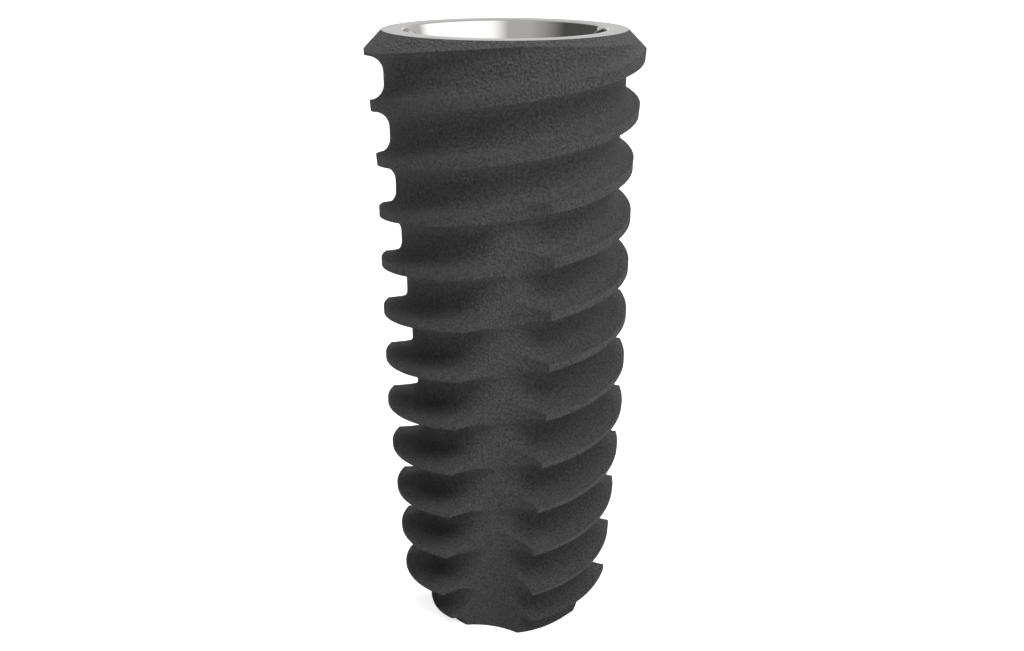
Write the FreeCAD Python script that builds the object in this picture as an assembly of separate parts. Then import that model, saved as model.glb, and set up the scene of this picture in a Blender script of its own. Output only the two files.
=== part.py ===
import FreeCAD, Part
import math
import os

# Dental implant: one turned and milled titanium screw, in millimetres.
# The origin is at the middle of the platform, the flat ring on top, and the screw
# runs down from there to z = -overall_length. Depths are measured down from the platform,
# and heights up from the lower end.
# The front of the screw faces -Y, and azimuths turn from there towards +X.

# Outside of the blank
overall_length = 9.86
rim_radius = 1.795
collar_radius = 2.06
collar_bevel_depth = 0.265
crest_radius = 1.94
coronal_cone_end = 1.94
cylinder_end = 5.90
nose_radius = 1.75
nose_height = 0.75
tip_radius = 1.38
tip_height = 0.36
end_radius = 1.30

# Double-start thread groove, right-handed
starts = 2
pitch = 0.80
groove_depth_at_front = 0.3135
core_radius_at_platform = 1.84
core_taper = 0.0725
floor_half_width = 0.085
root_fillet = 0.23
lower_flank_angle = 5.0
upper_flank_angle = 11.0
cutter_height = 0.64

# Run-out of the groove at the collar, and how far the groove is drawn up at the tip
runout_angle = 75.0
runout_lift = 0.105
closing_height = 1.26
closing_rise = 0.09

# Cutting flutes, which widen at the tip
flutes = 3
flute_cutter_radius = 0.80
flute_flared_radius = 1.30
flute_flare_height = 0.86
flute_wide_height = 0.36
flute_core_radius = 1.297
flute_core_height = 2.06
flute_inward_slope = 0.073
flute_tip_slope = 0.166
flute_runout_height = 6.86
flute_runout_radius = 5.0
flute_top_height = 8.26
flute_azimuth = -8.0
flute_twist = -2.6
flute_sections = 15

# Inside, from the mouth down: seat cone, hexagon, hole for the abutment screw
mouth_radius = 1.485
mouth_chamfer = 0.02
seat_half_angle = 11.0
hex_across_flats = 2.10
hex_end_depth = 2.90
screw_hole_radius = 0.73
screw_hole_end = 6.60
drill_tip_angle = 118.0

# How far a cutting tool reaches past the metal, and the steps of the helical path
overrun = 0.60
steps_per_turn = 12

lead = pitch * starts
hex_corner_radius = hex_across_flats / 2 / math.cos(math.radians(30))
vertical = FreeCAD.Vector(0, 0, 1)
centre = FreeCAD.Vector(0, 0, 0)


def at(radius, depth):
    """Point of the section in the XZ plane."""
    return FreeCAD.Vector(radius, 0, -depth)


def around(radius, azimuth, depth):
    """Point at an azimuth in degrees from the front."""
    turn = math.radians(azimuth)
    return FreeCAD.Vector(radius * math.sin(turn), -radius * math.cos(turn), -depth)


def revolved(points):
    """Solid of revolution about the long axis of a closed section."""
    section = Part.Face(Part.makePolygon(points + [points[0]]))
    return section.revolve(centre, vertical, 360)


def make_blank():
    """Collar, coronal cone, cylinder, taper, nose and tip, before any groove is cut."""
    return revolved([
        at(0, 0),
        at(rim_radius, 0),
        at(collar_radius, collar_bevel_depth),
        at(crest_radius, coronal_cone_end),
        at(crest_radius, cylinder_end),
        at(nose_radius, overall_length - nose_height),
        at(tip_radius, overall_length - tip_height),
        at(end_radius, overall_length),
        at(0, overall_length),
    ])


def groove_section(radius, depth):
    """Closed section of the groove cutter with its floor at a radius and depth."""
    edges = []
    ends = []
    for side, angle in ((1, lower_flank_angle), (-1, upper_flank_angle)):
        lean = math.radians(angle)
        turn = math.pi / 2 - lean
        pull = 4 / 3 * math.tan(turn / 4) * root_fillet
        along_floor = FreeCAD.Vector(0, 0, -side)
        along_flank = FreeCAD.Vector(math.cos(lean), 0, -side * math.sin(lean))
        corner = at(radius, depth + side * floor_half_width)
        root = corner + FreeCAD.Vector(1 - math.cos(turn), 0, -side * math.sin(turn)) * root_fillet
        top = root + along_flank * ((radius + cutter_height - root.x) / math.cos(lean))
        fillet = Part.BezierCurve()
        fillet.setPoles([corner, corner + along_floor * pull, root - along_flank * pull, root])
        edges.append(fillet.toShape())
        edges.append(Part.LineSegment(root, top).toShape())
        ends.append((corner, top))
    edges.append(Part.LineSegment(ends[0][0], ends[1][0]).toShape())
    edges.append(Part.LineSegment(ends[0][1], ends[1][1]).toShape())
    return Part.Wire(Part.__sortEdges__(edges))


def groove_floor_radius(azimuth, depth):
    """Radius of the groove floor, which lifts out of the metal at the collar."""
    lift = 0.0
    if azimuth > 0:
        lift = runout_lift * math.sin(math.pi / 2 * min(azimuth / runout_angle, 1))
    return core_radius_at_platform - core_taper * depth + lift


def groove_depth(azimuth):
    """Depth of the middle of the groove floor, which rises a little off the helix at the tip."""
    depth = groove_depth_at_front - lead * azimuth / 360
    past = max(depth - overall_length + closing_height, 0) / closing_height
    return depth - closing_rise * past * past


def make_groove_cutter():
    """One start of the thread groove, swept along a tapering helix."""
    top_azimuth = 360 * (groove_depth_at_front + overrun) / lead
    bottom_azimuth = 360 * (groove_depth_at_front - overall_length - overrun) / lead
    steps = math.ceil((top_azimuth - bottom_azimuth) / 360 * steps_per_turn)
    points = []
    for i in range(steps + 1):
        azimuth = top_azimuth + (bottom_azimuth - top_azimuth) * i / steps
        depth = groove_depth(azimuth)
        points.append(around(groove_floor_radius(azimuth, depth), azimuth, depth))
    helix = Part.BSplineCurve()
    helix.interpolate(Points=points, Parameters=[float(i) for i in range(steps + 1)])
    turns = []
    for i in range(0, steps, steps_per_turn):
        turns.append(helix.toShape(float(i), float(min(i + steps_per_turn, steps))))
    section = groove_section(groove_floor_radius(top_azimuth, -overrun), -overrun)
    section.rotate(centre, vertical, top_azimuth - 90)
    sweep = Part.BRepOffsetAPI.MakePipeShell(Part.Wire(turns))
    sweep.setBiNormalMode(vertical)
    sweep.add(section)
    sweep.build()
    sweep.makeSolid()
    return sweep.shape()


def flute_section(height):
    """Circle of the flute cutter at a height, which leaves the core between the flutes."""
    above = max(height - flute_core_height, 0)
    below = max(flute_core_height - height, 0)
    runout = max(height - flute_runout_height, 0)
    flare = (flute_flare_height - height) / (flute_flare_height - flute_wide_height)
    flare = math.sin(math.pi / 2 * min(max(flare, 0), 1)) ** 2
    radius = flute_cutter_radius + (flute_flared_radius - flute_cutter_radius) * flare
    core = flute_core_radius + flute_inward_slope * above - flute_tip_slope * below
    core = core + runout * runout / (2 * flute_runout_radius)
    azimuth = flute_azimuth + flute_twist * (flute_core_height - height)
    ring = Part.makeCircle(radius, at(core + radius, overall_length - height), vertical)
    ring.rotate(centre, vertical, azimuth - 90)
    return Part.Wire(ring)


def make_flute_cutter():
    """Round cutter that leans inward, turns, widens at the tip and lifts out at the top."""
    step = (flute_top_height + overrun) / (flute_sections - 1)
    rings = [flute_section(step * i - overrun) for i in range(flute_sections)]
    return Part.makeLoft(rings, True)


def make_socket():
    """Seat cone, hexagon and screw hole, as one tool."""
    slope = math.tan(math.radians(seat_half_angle))
    seat_end = (mouth_radius - hex_corner_radius) / slope
    tip = screw_hole_radius / math.tan(math.radians(drill_tip_angle / 2))
    cone_and_hole = revolved([
        at(0, -overrun),
        at(mouth_radius + mouth_chamfer, -overrun),
        at(mouth_radius + mouth_chamfer, 0),
        at(mouth_radius - mouth_chamfer * slope, mouth_chamfer),
        at(hex_corner_radius, seat_end),
        at(screw_hole_radius, seat_end),
        at(screw_hole_radius, screw_hole_end),
        at(0, screw_hole_end + tip),
    ])
    corners = [around(hex_corner_radius, 60 * i, seat_end) for i in range(6)]
    hexagon = Part.Face(Part.makePolygon(corners + [corners[0]]))
    return cone_and_hole.fuse(hexagon.extrude(-vertical * (hex_end_depth - seat_end)))


def make_implant():
    body = make_blank()
    groove = make_groove_cutter()
    for i in range(starts):
        cutter = groove.copy()
        cutter.rotate(centre, vertical, 360 * i / starts)
        body = body.cut(cutter)
    flute = make_flute_cutter()
    for i in range(flutes):
        cutter = flute.copy()
        cutter.rotate(centre, vertical, 360 * i / flutes)
        body = body.cut(cutter)
    body = body.cut(make_socket())
    return body.Solids[0]


os.makedirs("parts", exist_ok=True)
implant = make_implant()
implant.exportStep("parts/implant_body.step")
print("implant_body", round(implant.Volume, 4), "mm3", len(implant.Faces), "faces", implant.isValid())
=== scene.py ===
import math

import bmesh
import bpy
from mathutils import Matrix, Vector


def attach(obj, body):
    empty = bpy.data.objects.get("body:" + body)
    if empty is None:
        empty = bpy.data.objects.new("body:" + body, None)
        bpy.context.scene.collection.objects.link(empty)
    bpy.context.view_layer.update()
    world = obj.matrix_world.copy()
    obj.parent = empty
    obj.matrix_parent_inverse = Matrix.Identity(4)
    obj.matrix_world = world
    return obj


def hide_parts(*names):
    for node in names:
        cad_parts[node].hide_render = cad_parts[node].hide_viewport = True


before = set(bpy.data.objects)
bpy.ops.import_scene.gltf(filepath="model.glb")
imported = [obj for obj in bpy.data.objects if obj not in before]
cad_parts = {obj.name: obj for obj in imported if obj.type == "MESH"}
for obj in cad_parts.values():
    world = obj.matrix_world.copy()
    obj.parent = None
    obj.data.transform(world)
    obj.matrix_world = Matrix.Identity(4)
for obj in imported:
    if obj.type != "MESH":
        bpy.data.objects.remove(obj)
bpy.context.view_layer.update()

# Dental implant: one turned, milled and blasted titanium screw.
# It is worked out in millimetres and scaled to metres at the end. Depths run down from
# the platform at z = 0, and azimuths in degrees run from the front, -Y, towards +X.

millimetre = 0.001
scene = bpy.context.scene

# Materials


def linear(code):  # sRGB hex to linear
    values = [int(code[i:i + 2], 16) / 255 for i in (1, 3, 5)]
    return tuple(v / 12.92 if v <= 0.04045 else ((v + 0.055) / 1.055) ** 2.4 for v in values) + (1.0,)


def addNode(tree, kind, settings, links=()):  # one node with its values and its links
    node = tree.nodes.new(kind)
    for name, value in settings.items():
        if isinstance(name, int) or name in node.inputs:
            node.inputs[name].default_value = value
        else:
            setattr(node, name, value)
    for name, source in links:
        tree.links.new(source, node.inputs[name])
    return node


def newMaterial(name):
    material = bpy.data.materials.new(name)
    material.use_nodes = True
    material.node_tree.nodes.clear()
    return material, material.node_tree


def perMillimetre(size):  # texture scale that gives features of a size in mm
    return 1 / (size * millimetre)


blasting = {
    "colour": "#5f5f5f",  # between the pits
    "paintedPitShade": "#434343",  # painted shade, the darker grey at the bottom of the pits
    "metallic": 0.0,  # the oxide and the pits leave no mirror, so it is lit as a matt surface
    "roughness": 0.8,
    "roughnessChange": 0.06,  # up and down over the patches
    "specular": 0.25,
    "grit": 0.034,  # mm, one pit, a little coarser than the real one so that it shows
    "gritLayers": 2.0,  # finer noise inside each pit
    "gritLayerShare": 0.55,
    "etch": 0.018,  # mm, the acid etch, far coarser than the real one, which is too fine to show
    "etchLayers": 1.0,
    "etchShare": 0.3,  # height of the etch against that of the pits
    "depth": 0.06,  # mm, height of the pits, more than the real one so that they catch the light
    "toneLow": 0.3,  # noise value that takes the painted pit shade
    "toneHigh": 0.62,  # noise value with the colour between them
    "patch": 0.6,  # mm, slow change in how hard the grit struck
    "patchLayers": 2.0,
}


def blastedTitanium():
    # Titanium blasted with grit and etched: matt dark grey, pitted, that breaks light into fine specks, with
    # painted shade darkening the bottom of the pits
    material, tree = newMaterial("blastedTitanium")
    place = addNode(tree, "ShaderNodeTexCoord", {}).outputs["Object"]
    pits = addNode(tree, "ShaderNodeTexNoise",
                   {"Scale": perMillimetre(blasting["grit"]), "Detail": blasting["gritLayers"],
                    "Roughness": blasting["gritLayerShare"]},
                   [("Vector", place)])
    etch = addNode(tree, "ShaderNodeTexNoise",
                   {"Scale": perMillimetre(blasting["etch"]), "Detail": blasting["etchLayers"]},
                   [("Vector", place)])
    patches = addNode(tree, "ShaderNodeTexNoise",
                      {"Scale": perMillimetre(blasting["patch"]), "Detail": blasting["patchLayers"]},
                      [("Vector", place)])
    relief = addNode(tree, "ShaderNodeMath", {"operation": "MULTIPLY_ADD", 1: blasting["etchShare"]},
                     [(0, etch.outputs["Fac"]), (2, pits.outputs["Fac"])])
    # painted shade: where the grit noise is low, at the bottom of the pits, the grey is drawn darker
    tone = addNode(tree, "ShaderNodeMapRange",
                   {"From Min": blasting["toneLow"], "From Max": blasting["toneHigh"]},
                   [("Value", pits.outputs["Fac"])])
    tint = addNode(tree, "ShaderNodeMix",
                   {"data_type": "RGBA", 6: linear(blasting["paintedPitShade"]), 7: linear(blasting["colour"])},
                   [(0, tone.outputs["Result"])])
    rough = addNode(tree, "ShaderNodeMapRange",
                    {"To Min": blasting["roughness"] - blasting["roughnessChange"],
                     "To Max": blasting["roughness"] + blasting["roughnessChange"]},
                    [("Value", patches.outputs["Fac"])])
    bump = addNode(tree, "ShaderNodeBump",
                   {"Strength": 1.0, "Distance": blasting["depth"] * millimetre},
                   [("Height", relief.outputs["Value"])])
    metal = addNode(tree, "ShaderNodeBsdfPrincipled",
                    {"Metallic": blasting["metallic"], "Specular IOR Level": blasting["specular"]},
                    [("Base Color", tint.outputs[2]), ("Roughness", rough.outputs["Result"]),
                     ("Normal", bump.outputs["Normal"])])
    addNode(tree, "ShaderNodeOutputMaterial", {}, [("Surface", metal.outputs["BSDF"])])
    return material


turning = {
    "colour": "#aeadab",
    "shadedRingColour": "#918f8e",  # the platform, turned once and not polished; its darker grey is painted shade on the same titanium as the seat
    "ringRoughness": 0.30,
    "seatRoughness": 0.05,
    "socketRoughness": 0.22,
    "feed": 0.1257,  # mm between the marks of the turning tool, coarser than the real feed so that they show
    "depth": 0.0004,  # mm, height of those marks
    "wander": 0.6,  # how uneven they are
    "wanderLayers": 2.0,
}
waveLength = math.tau / 20  # distance between two crests of Blender's wave texture at scale 1


def turnedTitanium(name, colour, roughness, pattern):
    # Bare titanium left by the turning tool: light grey and shiny, with fine rings that stretch the gloss
    material, tree = newMaterial(name)
    place = addNode(tree, "ShaderNodeTexCoord", {}).outputs["Object"]
    rings = addNode(tree, "ShaderNodeTexWave",
                    {"wave_type": pattern, "bands_direction": "Z", "rings_direction": "Z",
                     "Scale": waveLength * perMillimetre(turning["feed"]),
                     "Distortion": turning["wander"], "Detail": turning["wanderLayers"]},
                    [("Vector", place)])
    bump = addNode(tree, "ShaderNodeBump",
                   {"Strength": 1.0, "Distance": turning["depth"] * millimetre},
                   [("Height", rings.outputs["Fac"])])
    metal = addNode(tree, "ShaderNodeBsdfPrincipled",
                    {"Base Color": linear(colour), "Metallic": 1.0, "Roughness": roughness},
                    [("Normal", bump.outputs["Normal"])])
    addNode(tree, "ShaderNodeOutputMaterial", {}, [("Surface", metal.outputs["BSDF"])])
    return material


surfaces = {
    "blasted": blastedTitanium(),
    # the platform ring takes a darker copy of the turned titanium, as painted shade
    "ring": turnedTitanium("facedTitaniumPaintedShade", turning["shadedRingColour"], turning["ringRoughness"], "RINGS"),
    "seat": turnedTitanium("polishedTitanium", turning["colour"], turning["seatRoughness"], "BANDS"),
    "socket": turnedTitanium("boredTitanium", turning["colour"], turning["socketRoughness"], "BANDS"),
}
print("materials made:", ", ".join(surfaces))

# Meshes from rings of points


def around(radius, azimuth, depth):  # point at an azimuth from the front
    turn = math.radians(azimuth)
    return (radius * math.sin(turn), -radius * math.cos(turn), -depth)


def meshObject(name, points, faces, marks):  # marks: the finish of each face
    mesh = bpy.data.meshes.new(name)
    mesh.from_pydata(points, [], faces)
    for material in surfaces.values():
        mesh.materials.append(material)
    order = list(surfaces)
    for face, mark in zip(mesh.polygons, marks):
        face.material_index = order.index(mark)
    work = bmesh.new()
    work.from_mesh(mesh)
    bmesh.ops.recalc_face_normals(work, faces=work.faces)
    work.to_mesh(mesh)
    work.free()
    item = bpy.data.objects.new(name, mesh)
    scene.collection.objects.link(item)
    return item


def lathe(name, outline, steps):  # outline rows: radius, depth, finish of the wall down to the next row
    points, faces, marks, rings = [], [], [], []
    for radius, depth, mark in outline:
        first = len(points)
        if radius == 0:
            points.append((0, 0, -depth))
            rings.append([first] * steps)
        else:
            points += [around(radius, 360 * i / steps, depth) for i in range(steps)]
            rings.append(list(range(first, first + steps)))
    for upper, lower, row in zip(rings, rings[1:], outline):
        for i in range(steps):
            j = (i + 1) % steps
            faces.append(tuple(dict.fromkeys((upper[i], upper[j], lower[j], lower[i]))))
            marks.append(row[2])
    return meshObject(name, points, faces, marks)


def sweep(name, rings, mark):  # rings of points, one along each step of the path, closed by flat ends
    size = len(rings[0])
    points = [point for ring in rings for point in ring]
    faces = []
    for row in range(len(rings) - 1):
        for i in range(size):
            j = (i + 1) % size
            faces.append((row * size + i, row * size + j, (row + 1) * size + j, (row + 1) * size + i))
    last = (len(rings) - 1) * size
    faces.append(tuple(range(size)))
    faces.append(tuple(reversed(range(last, last + size))))
    return meshObject(name, points, faces, [mark] * len(faces))


def cutAway(piece, tool, turns):  # takes a tool away from the piece, once at each azimuth
    work = bmesh.new()
    for turn in turns:
        copy = tool.data.copy()
        copy.transform(Matrix.Rotation(math.radians(turn), 4, "Z"))
        work.from_mesh(copy)
    work.to_mesh(tool.data)
    work.free()
    step = piece.modifiers.new("cut", "BOOLEAN")
    step.operation = "DIFFERENCE"
    step.solver = "MANIFOLD"
    step.object = tool
    scene.view_layers[0].update()
    graph = bpy.context.evaluated_depsgraph_get()
    piece.data = bpy.data.meshes.new_from_object(piece.evaluated_get(graph))
    piece.modifiers.clear()
    print("cut with", tool.name, "-", len(piece.data.polygons), "faces")
    bpy.data.objects.remove(tool)


# Blank of the screw

blank = {
    "steps": 240,  # round the axis
    "length": 9.86,
    "rimRadius": 1.795,
    "collarRadius": 2.06,
    "bevelDepth": 0.265,
    "crestRadius": 1.94,
    "coneEnd": 1.94,
    "cylinderEnd": 5.90,
    "noseRadius": 1.75,
    "noseDepth": 9.11,
    "tipRadius": 1.38,
    "tipDepth": 9.50,
    "endRadius": 1.30,
    "sharpAngle": 28,  # degrees, an edge that turns further stays crisp
}
overrun = 0.60  # mm that a tool reaches past the metal
roundSteps = blank["steps"]


def makeBlank():
    return lathe("implant", [
        (0, 0, "ring"),
        (blank["rimRadius"], 0, "blasted"),
        (blank["collarRadius"], blank["bevelDepth"], "blasted"),
        (blank["crestRadius"], blank["coneEnd"], "blasted"),
        (blank["crestRadius"], blank["cylinderEnd"], "blasted"),
        (blank["noseRadius"], blank["noseDepth"], "blasted"),
        (blank["tipRadius"], blank["tipDepth"], "blasted"),
        (blank["endRadius"], blank["length"], "blasted"),
        (0, blank["length"], "blasted"),
    ], roundSteps)


# Thread groove

thread = {
    "starts": 2,
    "pitch": 0.80,
    "depthAtFront": 0.3135,
    "coreAtPlatform": 1.84,
    "coreTaper": 0.0725,
    "floorHalfWidth": 0.085,
    "rootFillet": 0.23,
    "filletSteps": 10,
    "lowerFlankAngle": 5.0,
    "upperFlankAngle": 11.0,
    "height": 0.64,  # of the cutter, over the floor
    "runoutAngle": 75.0,  # degrees past the front
    "runoutLift": 0.105,
    "closingDepth": 8.60,  # from here the groove is drawn up a little
    "closingRise": 0.09,
}
lead = thread["pitch"] * thread["starts"]


def grooveSection():  # points as height over the floor and distance below its middle
    sides = []
    for side, angle in ((1, thread["lowerFlankAngle"]), (-1, thread["upperFlankAngle"])):
        lean = math.radians(angle)
        part = []
        for i in range(thread["filletSteps"] + 1):
            turn = (math.pi / 2 - lean) * i / thread["filletSteps"]
            part.append((thread["rootFillet"] * (1 - math.cos(turn)),
                         side * (thread["floorHalfWidth"] + thread["rootFillet"] * math.sin(turn))))
        rise = thread["height"] - part[-1][0]
        part.append((thread["height"], part[-1][1] + side * rise * math.tan(lean)))
        sides.append(part)
    return sides[0] + sides[1][::-1]


def grooveFloor(azimuth, depth):  # the floor lifts out of the metal past the front, at the collar
    lift = 0
    if azimuth > 0:
        lift = thread["runoutLift"] * math.sin(math.pi / 2 * min(azimuth / thread["runoutAngle"], 1))
    return thread["coreAtPlatform"] - thread["coreTaper"] * depth + lift


def grooveDepth(azimuth):  # of the middle of the floor, which leaves the helix at the tip
    depth = thread["depthAtFront"] - lead * azimuth / 360
    past = max(depth - thread["closingDepth"], 0) / (blank["length"] - thread["closingDepth"])
    return depth - thread["closingRise"] * past * past


def makeGroove():
    section = grooveSection()
    top = 360 * (thread["depthAtFront"] + overrun) / lead
    bottom = 360 * (thread["depthAtFront"] - blank["length"] - overrun) / lead
    count = math.ceil((top - bottom) / 360 * roundSteps)
    rings = []
    for i in range(count + 1):
        azimuth = top + (bottom - top) * i / count
        depth = grooveDepth(azimuth)
        floor = grooveFloor(azimuth, depth)
        rings.append([around(floor + height, azimuth, depth + below) for height, below in section])
    return sweep("threadGroove", rings, "blasted")


# Cutting flutes

flute = {
    "count": 3,
    "cutterRadius": 0.80,
    "flaredRadius": 1.30,  # at the tip
    "coreRadius": 1.297,
    "coreDepth": 7.80,
    "inwardSlope": 0.073,
    "tipSlope": 0.166,
    "flareStart": 9.00,
    "flareEnd": 9.50,
    "runoutStart": 3.00,
    "runoutRadius": 5.0,
    "topDepth": 1.60,
    "azimuth": -8.0,
    "twist": -2.6,  # degrees for each mm of depth
    "steps": 90,  # along the path
    "roundSteps": 144,
}


def fluteRing(depth):  # radius of the cutter, radius of the core that it leaves, azimuth
    above = max(flute["coreDepth"] - depth, 0)
    below = max(depth - flute["coreDepth"], 0)
    runout = max(flute["runoutStart"] - depth, 0)
    flare = (depth - flute["flareStart"]) / (flute["flareEnd"] - flute["flareStart"])
    flare = math.sin(math.pi / 2 * min(max(flare, 0), 1)) ** 2
    radius = flute["cutterRadius"] + (flute["flaredRadius"] - flute["cutterRadius"]) * flare
    core = flute["coreRadius"] + flute["inwardSlope"] * above - flute["tipSlope"] * below
    core = core + runout * runout / (2 * flute["runoutRadius"])
    azimuth = flute["azimuth"] + flute["twist"] * (depth - flute["coreDepth"])
    return radius, core, azimuth


def makeFlute():
    foot = blank["length"] + overrun
    rings = []
    for i in range(flute["steps"] + 1):
        depth = foot + (flute["topDepth"] - foot) * i / flute["steps"]
        radius, core, azimuth = fluteRing(depth)
        middle = Vector(around(core + radius, azimuth, depth))
        ring = []
        for j in range(flute["roundSteps"]):
            ring.append(tuple(middle + Vector(around(radius, 360 * j / flute["roundSteps"] + azimuth, 0))))
        rings.append(ring)
    return sweep("cuttingFlute", rings, "blasted")


# Socket: seat cone, hexagon, and the threaded hole of the abutment screw

socket = {
    "mouthRadius": 1.485,
    "mouthChamfer": 0.02,
    "seatHalfAngle": 11.0,
    "hexAcrossFlats": 2.10,
    "hexEnd": 2.90,
    "holeRadius": 0.73,
    "holeEnd": 6.60,
    "drillTipAngle": 118.0,
    "screwRadius": 0.90,
    "screwPitch": 0.35,
    "screwHalfWidth": 0.42,  # of the cutter's foot, as a share of the pitch
    "screwTop": 3.05,
    "screwEnd": 6.30,
    "screwSteps": 48,  # for each turn
    "screwLeastHeight": 0.1,  # share of the thread's height where it runs in and out
}
hexLap = 0.001  # mm that the hexagon starts over the end of the seat, so that the two cuts join
boreLap = 0.05  # mm that the thread cutter's foot lies inside the bore, for the same reason
seatSlope = math.tan(math.radians(socket["seatHalfAngle"]))
hexCorner = socket["hexAcrossFlats"] / 2 / math.cos(math.radians(30))
seatEnd = (socket["mouthRadius"] - hexCorner) / seatSlope


def makeBore():
    lip = socket["mouthRadius"] + socket["mouthChamfer"]
    tip = socket["holeRadius"] / math.tan(math.radians(socket["drillTipAngle"] / 2))
    return lathe("seatAndBore", [
        (0, -overrun, "seat"),
        (lip, -overrun, "seat"),
        (lip, 0, "seat"),
        (socket["mouthRadius"] - socket["mouthChamfer"] * seatSlope, socket["mouthChamfer"], "seat"),
        (hexCorner, seatEnd, "socket"),
        (socket["holeRadius"], seatEnd, "socket"),
        (socket["holeRadius"], socket["holeEnd"], "socket"),
        (0, socket["holeEnd"] + tip, "socket"),
    ], roundSteps)


def makeHexagon():
    middle = (seatEnd + socket["hexEnd"]) / 2
    rings = [[around(hexCorner, 60 * i, depth) for i in range(6)]
             for depth in (seatEnd - hexLap, middle, socket["hexEnd"])]
    return sweep("hexagon", rings, "socket")


def makeScrewThread():
    deep = socket["screwRadius"]
    shallow = socket["holeRadius"] - boreLap
    half = socket["screwPitch"] * socket["screwHalfWidth"]
    turns = (socket["screwEnd"] - socket["screwTop"]) / socket["screwPitch"]
    count = math.ceil(turns * socket["screwSteps"])
    rings = []
    for i in range(count + 1):
        azimuth = -360 * turns * i / count
        depth = socket["screwTop"] + socket["screwPitch"] * turns * i / count
        fade = min(1, i / socket["screwSteps"], (count - i) / socket["screwSteps"])
        crest = shallow + (deep - shallow) * max(fade, socket["screwLeastHeight"])
        rings.append([around(shallow, azimuth, depth - half), around(crest, azimuth, depth),
                      around(shallow, azimuth, depth + half)])
    return sweep("screwThread", rings, "socket")


def makeImplant():
    piece = makeBlank()
    cutAway(piece, makeGroove(), [360 * i / thread["starts"] for i in range(thread["starts"])])
    cutAway(piece, makeFlute(), [360 * i / flute["count"] for i in range(flute["count"])])
    cutAway(piece, makeBore(), [0])
    cutAway(piece, makeHexagon(), [0])
    cutAway(piece, makeScrewThread(), [0])
    piece.data.transform(Matrix.Scale(millimetre, 4))
    piece.data.shade_smooth()
    piece.data.set_sharp_from_angle(angle=math.radians(blank["sharpAngle"]))
    return piece


implant = makeImplant()
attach(implant, "root")
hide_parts("implant_body")
print("implant made:", len(implant.data.polygons), "faces")

# Floor, world and lamps

floorLook = {
    "colour": "#e6e6e4",
    "roughness": 0.9,
    "specular": 0.1,
    "size": 400.0,  # mm
    "glow": 0.84,  # white that is added for the camera alone
}


def makeFloor():
    half = floorLook["size"] * millimetre / 2
    level = -blank["length"] * millimetre
    corners = [(x * half, y * half, level) for x, y in ((-1, -1), (1, -1), (1, 1), (-1, 1))]
    mesh = bpy.data.meshes.new("floor")
    mesh.from_pydata(corners, [], [(0, 1, 2, 3)])
    # Matt paper sweep: pale, even, and white to the camera, so that only the shadow shows
    material, tree = newMaterial("paperSweep")
    path = addNode(tree, "ShaderNodeLightPath", {})
    paper = addNode(tree, "ShaderNodeBsdfPrincipled",
                    {"Base Color": linear(floorLook["colour"]), "Roughness": floorLook["roughness"],
                     "Specular IOR Level": floorLook["specular"]})
    glow = addNode(tree, "ShaderNodeMath", {"operation": "MULTIPLY", 1: floorLook["glow"]},
                   [(0, path.outputs["Is Camera Ray"])])
    white = addNode(tree, "ShaderNodeEmission", {}, [("Strength", glow.outputs["Value"])])
    blend = addNode(tree, "ShaderNodeAddShader", {},
                    [(0, paper.outputs["BSDF"]), (1, white.outputs["Emission"])])
    addNode(tree, "ShaderNodeOutputMaterial", {}, [("Surface", blend.outputs["Shader"])])
    mesh.materials.append(material)
    floor = bpy.data.objects.new("floor", mesh)
    scene.collection.objects.link(floor)


studio = {
    "ambient": 0.02,  # strength of the world on matt surfaces
    "lamps": [  # name, place in mm, size in mm, power in W
        ("keyLamp", (148, -124, 225), 150, 0.34),
        ("frontLamp", (39, -145, 255), 150, 0.30),
        ("fillLamp", (-115, -96, 255), 150, 0.07),
        ("backLamp", (0, 140, 265), 150, 0.32),
    ],
    "cards": [  # azimuth from the front in degrees and strength, which only reflections show
        (-136, 0.15), (-77, 0.15), (-52, 0.60), (-31, 0.90), (-4, 0.90), (14, 2.3),
        (30, 2.5), (60, 2.5), (96, 2.5), (106, 2.4), (120, 1.1),
    ],
    "cardDistance": 90.0,  # mm
    "cardTop": 34.0,  # mm over the platform
}


def makeWorld():
    world = bpy.data.worlds.new("studio")
    scene.world = world
    world.use_nodes = True
    tree = world.node_tree
    tree.nodes.clear()
    path = addNode(tree, "ShaderNodeLightPath", {})
    seen = path.outputs["Is Camera Ray"]
    for kind in ("Is Glossy Ray", "Is Transmission Ray"):
        seen = addNode(tree, "ShaderNodeMath", {"operation": "MAXIMUM"},
                       [(0, seen), (1, path.outputs[kind])]).outputs["Value"]
    ambient = addNode(tree, "ShaderNodeBackground", {"Strength": studio["ambient"]})
    white = addNode(tree, "ShaderNodeBackground", {"Color": (1, 1, 1, 1), "Strength": 1.0})
    blend = addNode(tree, "ShaderNodeMixShader", {},
                    [(0, seen), (1, ambient.outputs["Background"]), (2, white.outputs["Background"])])
    addNode(tree, "ShaderNodeOutputWorld", {}, [("Surface", blend.outputs["Shader"])])


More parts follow.
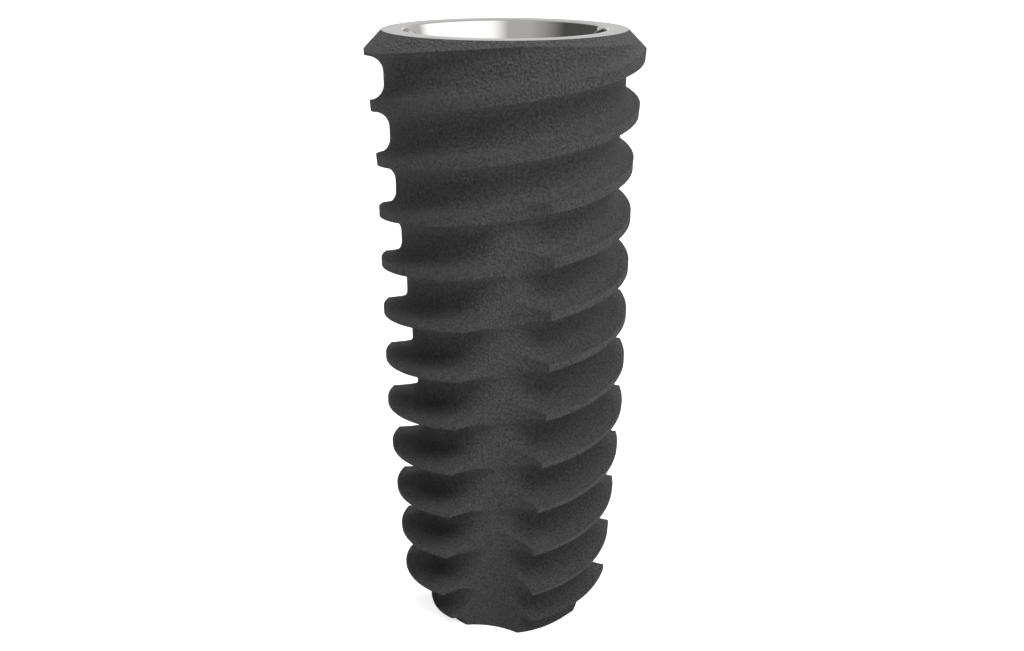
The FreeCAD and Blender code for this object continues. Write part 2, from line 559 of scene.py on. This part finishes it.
def makeLamps():
    middle = Vector((0, 0, -blank["length"] / 2))
    for name, place, size, power in studio["lamps"]:
        light = bpy.data.lights.new(name, "AREA")
        light.shape = "DISK"
        light.size = size * millimetre
        light.energy = power
        lamp = bpy.data.objects.new(name, light)
        lamp.location = Vector(place) * millimetre
        lamp.rotation_euler = (Vector(place) - middle).to_track_quat("Z", "Y").to_euler()
        scene.collection.objects.link(lamp)


def makeCards():
    points = []
    strengths = []
    for azimuth, strength in studio["cards"]:
        for depth in (blank["length"], -studio["cardTop"]):
            points.append(tuple(Vector(around(studio["cardDistance"], azimuth, depth)) * millimetre))
            strengths.append(strength)
    faces = [(i, i + 2, i + 3, i + 1) for i in range(0, len(points) - 2, 2)]
    mesh = bpy.data.meshes.new("cards")
    mesh.from_pydata(points, [], faces)
    mesh.attributes.new("strength", "FLOAT", "POINT").data.foreach_set("value", strengths)
    # Reflector cards: a bright one right of the front, a dark one at the left, which the polished seat shows
    material, tree = newMaterial("reflectorCards")
    strength = addNode(tree, "ShaderNodeAttribute", {"attribute_name": "strength"})
    light = addNode(tree, "ShaderNodeEmission", {}, [("Strength", strength.outputs["Fac"])])
    addNode(tree, "ShaderNodeOutputMaterial", {}, [("Surface", light.outputs["Emission"])])
    mesh.materials.append(material)
    cards = bpy.data.objects.new("cards", mesh)
    cards.visible_camera = False
    cards.visible_diffuse = False
    cards.visible_shadow = False
    scene.collection.objects.link(cards)


makeFloor()
makeWorld()
makeLamps()
makeCards()
print("studio made:", len(studio["lamps"]), "lamps")

# Camera

view = {
    "distance": 15.3027,  # mm from the axis, in front
    "height": 1.3627,  # mm over the platform
    "tilt": 21.463,  # degrees down
    "lens": 35.612,  # mm
    "sensor": 36.0,  # mm
    "shift": 0.00678,  # to the side, as a share of the picture's width
    "nearest": 0.1,  # mm
    "farthest": 10000.0,  # mm
}


def makeCamera():
    camera = bpy.data.cameras.new("camera")
    camera.sensor_width = view["sensor"]
    camera.lens = view["lens"]
    camera.shift_x = view["shift"]
    camera.clip_start = view["nearest"] * millimetre
    camera.clip_end = view["farthest"] * millimetre
    item = bpy.data.objects.new("camera", camera)
    item.location = Vector((0, -view["distance"], view["height"])) * millimetre
    item.rotation_euler = (math.radians(90 - view["tilt"]), 0, 0)
    scene.collection.objects.link(item)
    scene.camera = item


makeCamera()
scene.view_settings.view_transform = "Standard"
print("camera set")
